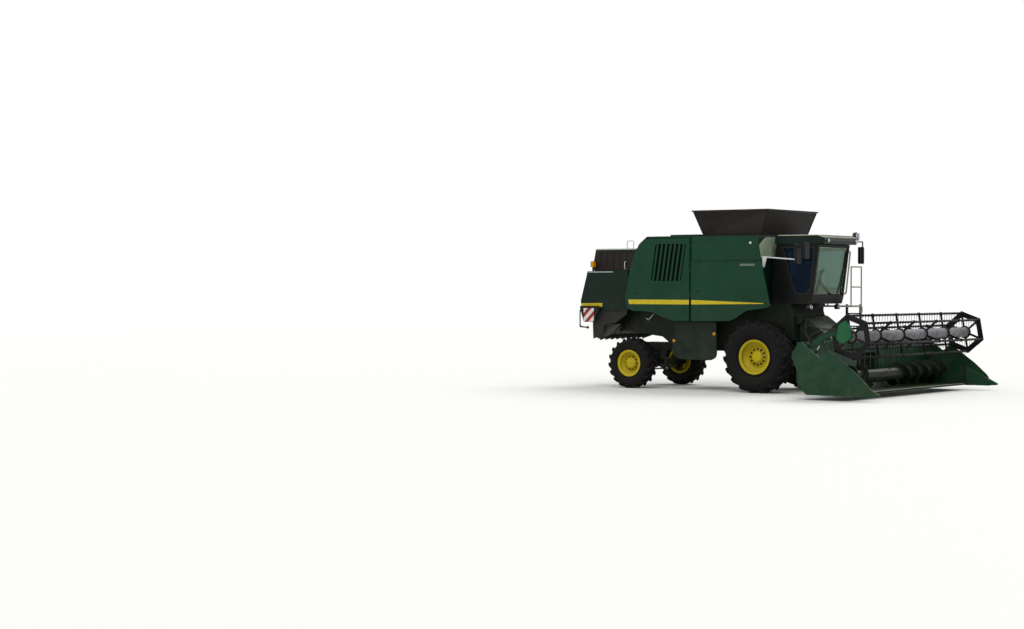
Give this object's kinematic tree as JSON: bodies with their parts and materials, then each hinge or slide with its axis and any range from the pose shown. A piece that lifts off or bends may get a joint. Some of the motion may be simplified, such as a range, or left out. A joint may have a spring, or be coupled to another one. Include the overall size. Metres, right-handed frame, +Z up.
{
  "type": "combine harvester",
  "caption": "Self-propelled grain combine with a wide tined reel header, side cab platform, raised tank, louvred engine panel and rear steering.",
  "frame": {"origin": "centre of the bounding box, on the ground that the tyres stand on", "axes": "+X is forward, towards the header; +Y is the machine's left; +Z is up"},
  "size_m": [9.8594, 6.96, 4.65],
  "materials": {
    "green_paint": "gloss enamel",
    "dark_green_paint": "gloss enamel, weathered",
    "yellow_paint": "gloss enamel",
    "tyre_rubber": "matt tyre rubber",
    "black_steel": "satin black paint",
    "chassis_paint": "satin dark paint",
    "galvanised_sheet": "galvanised sheet",
    "olive_paint": "satin enamel",
    "bright_steel": "ground steel",
    "cab_glazing": "tinted glass",
    "black_plastic": "moulded plastic",
    "seat_cloth": "woven cloth",
    "lamp_plastic": "clear and amber lenses",
    "engine_iron": "painted casting",
    "hose_rubber": "rubber hose"
  },
  "bodies": {
    "chassis": {"main_frame": "chassis_paint", "threshing_body": "chassis_paint", "grain_tank": "galvanised_sheet", "tank_extension": "black_steel", "tank_panels": "green_paint", "engine_hood": "green_paint", "engine_block": "engine_iron", "air_box": "black_steel", "straw_hood": "dark_green_paint", "chopper": "chassis_paint", "rear_brackets": "black_steel", "cab_shell": "black_steel", "cab_roof": "green_paint", "cab_glass": "cab_glazing", "cab_seat": "seat_cloth", "cab_controls": "black_plastic", "platform": "black_steel", "mirrors": "black_steel", "lamps": "lamp_plastic", "front_fairing": "olive_paint", "lower_shields": "dark_green_paint", "auger_turret": "green_paint", "rear_axle": "chassis_paint"},
    "wheel_front_right": {"tyre_front_right": "tyre_rubber", "rim_front_right": "yellow_paint"},
    "wheel_front_left": {"tyre_front_left": "tyre_rubber", "rim_front_left": "yellow_paint"},
    "wheel_rear_right": {"tyre_rear_right": "tyre_rubber", "rim_rear_right": "yellow_paint"},
    "wheel_rear_left": {"tyre_rear_left": "tyre_rubber", "rim_rear_left": "yellow_paint"},
    "steering_right": {"knuckle_right": "chassis_paint"},
    "steering_left": {"knuckle_left": "chassis_paint"},
    "track_rod": {"tie_rod": "bright_steel"},
    "header": {"feeder_house": "green_paint", "header_frame": "green_paint", "end_sheets": "green_paint", "guard_bar": "chassis_paint"},
    "knife_run": {"knife": "galvanised_sheet"},
    "cross_auger": {"header_auger": "dark_green_paint"},
    "reel_lift_arms": {"reel_arms": "green_paint", "reel_hose": "hose_rubber"},
    "reel_rotor": {"reel": "black_steel"},
    "reel_ram_barrels": {"reel_lift_barrels": "black_steel"},
    "reel_ram_rods": {"reel_lift_rods": "bright_steel"},
    "ram_barrels": {"lift_barrels": "black_steel"},
    "ram_rods": {"lift_rods": "bright_steel"},
    "panel_front_right": {"side_panel_right": "green_paint"},
    "panel_front_left": {"side_panel_left": "green_paint"},
    "panel_rear_right": {"engine_panel_right": "green_paint"},
    "panel_rear_left": {"engine_panel_left": "green_paint"},
    "unloading_arm": {"unloading_auger": "green_paint"},
    "door": {"cab_door": "black_steel", "door_glass": "cab_glazing"},
    "steps": {"ladder": "black_steel"}
  },
  "joints": [
    {"name": "front_right_spin", "type": "hinge", "parent": "chassis", "child": "wheel_front_right", "pos_m": [0.58, -1.335, 0.91], "axis": [0, 1, 0], "continuous": true},
    {"name": "front_left_spin", "type": "hinge", "parent": "chassis", "child": "wheel_front_left", "pos_m": [0.58, 1.335, 0.91], "axis": [0, 1, 0], "continuous": true},
    {"name": "steer_left", "type": "hinge", "parent": "chassis", "child": "steering_left", "pos_m": [-3.27, 0.965, 0.66], "axis": [0, 0, 1], "range_deg": [-30, 30]},
    {"name": "steer_right", "type": "hinge", "parent": "chassis", "child": "steering_right", "pos_m": [-3.27, -0.965, 0.66], "axis": [0, 0, 1], "range_deg": [-30, 30]},
    {"name": "track_rod_pivot", "type": "hinge", "parent": "steering_left", "child": "track_rod", "pos_m": [-3.6, 0.965, 0.5], "axis": [0, 0, 1], "range_deg": [-30, 30]},
    {"name": "rear_right_spin", "type": "hinge", "parent": "steering_right", "child": "wheel_rear_right", "pos_m": [-3.27, -1.27, 0.66], "axis": [0, 1, 0], "continuous": true},
    {"name": "rear_left_spin", "type": "hinge", "parent": "steering_left", "child": "wheel_rear_left", "pos_m": [-3.27, 1.27, 0.66], "axis": [0, 1, 0], "continuous": true},
    {"name": "header_lift", "type": "hinge", "parent": "chassis", "child": "header", "pos_m": [1.38, 0, 1.85], "axis": [0, -1, 0], "range_deg": [-1.5, 20]},
    {"name": "ram_barrel_pivot", "type": "hinge", "parent": "chassis", "child": "ram_barrels", "pos_m": [0.77, 0, 0.83], "axis": [0, -1, 0], "range_deg": [-2, 14]},
    {"name": "ram_rod_slide", "type": "slide", "parent": "ram_barrels", "child": "ram_rods", "axis": [0.9917, 0, -0.1287], "range_m": [-0.04, 0.38]},
    {"name": "cross_auger_spin", "type": "hinge", "parent": "header", "child": "cross_auger", "pos_m": [3.24, 0, 0.475], "axis": [0, 1, 0], "continuous": true},
    {"name": "knife_stroke", "type": "slide", "parent": "header", "child": "knife_run", "axis": [0, 1, 0], "range_m": [-0.038, 0.038]},
    {"name": "reel_lift", "type": "hinge", "parent": "header", "child": "reel_lift_arms", "pos_m": [3.005, 0, 1.29], "axis": [0, -1, 0], "range_deg": [-20, 20]},
    {"name": "reel_ram_barrel_pivot", "type": "hinge", "parent": "header", "child": "reel_ram_barrels", "pos_m": [3.1, 0, 0.96], "axis": [0, -1, 0], "range_deg": [-10, 10]},
    {"name": "reel_ram_rod_slide", "type": "slide", "parent": "reel_ram_barrels", "child": "reel_ram_rods", "axis": [0.5459, 0, 0.8378], "range_m": [-0.095, 0.095]},
    {"name": "reel_spin", "type": "hinge", "parent": "reel_lift_arms", "child": "reel_rotor", "pos_m": [4.09, 0, 1.51], "axis": [0, 1, 0], "continuous": true},
    {"name": "front_panel_right_lift", "type": "hinge", "parent": "chassis", "child": "panel_front_right", "pos_m": [0.58, -1.512, 3.345], "axis": [-1, 0, 0], "range_deg": [0, 85]},
    {"name": "front_panel_left_lift", "type": "hinge", "parent": "chassis", "child": "panel_front_left", "pos_m": [0.58, 1.512, 3.345], "axis": [1, 0, 0], "range_deg": [0, 85]},
    {"name": "rear_panel_right_swing", "type": "hinge", "parent": "chassis", "child": "panel_rear_right", "pos_m": [-1.377, -1.482, 2.9], "axis": [0, 0, 1], "range_deg": [0, 90]},
    {"name": "rear_panel_left_lift", "type": "hinge", "parent": "chassis", "child": "panel_rear_left", "pos_m": [-2.32, 1.512, 3.345], "axis": [1, 0, 0], "range_deg": [0, 85]},
    {"name": "unloading_swing", "type": "hinge", "parent": "chassis", "child": "unloading_arm", "pos_m": [0.33, 1.72, 3.74], "axis": [0, 0, -1], "range_deg": [0, 100]},
    {"name": "cab_door_swing", "type": "hinge", "parent": "chassis", "child": "door", "pos_m": [0.932, 0.866, 3], "axis": [0, 0, 1], "range_deg": [0, 80]},
    {"name": "ladder_swing", "type": "hinge", "parent": "chassis", "child": "steps", "pos_m": [1.996, 1.514, 1.4], "axis": [0, 0, -1], "range_deg": [0, 60]}
  ],
  "couplings": [
    {"joint": "steer_right", "follows": "steer_left", "ratio": 1},
    {"joint": "track_rod_pivot", "follows": "steer_left", "ratio": -1},
    {"joint": "ram_barrel_pivot", "follows": "header_lift", "ratio": 0.615},
    {"joint": "ram_rod_slide", "follows": "header_lift", "m_per_rad": 1.0405},
    {"joint": "reel_ram_barrel_pivot", "follows": "reel_lift", "ratio": 0.4655},
    {"joint": "reel_ram_rod_slide", "follows": "reel_lift", "m_per_rad": 0.259}
  ]
}
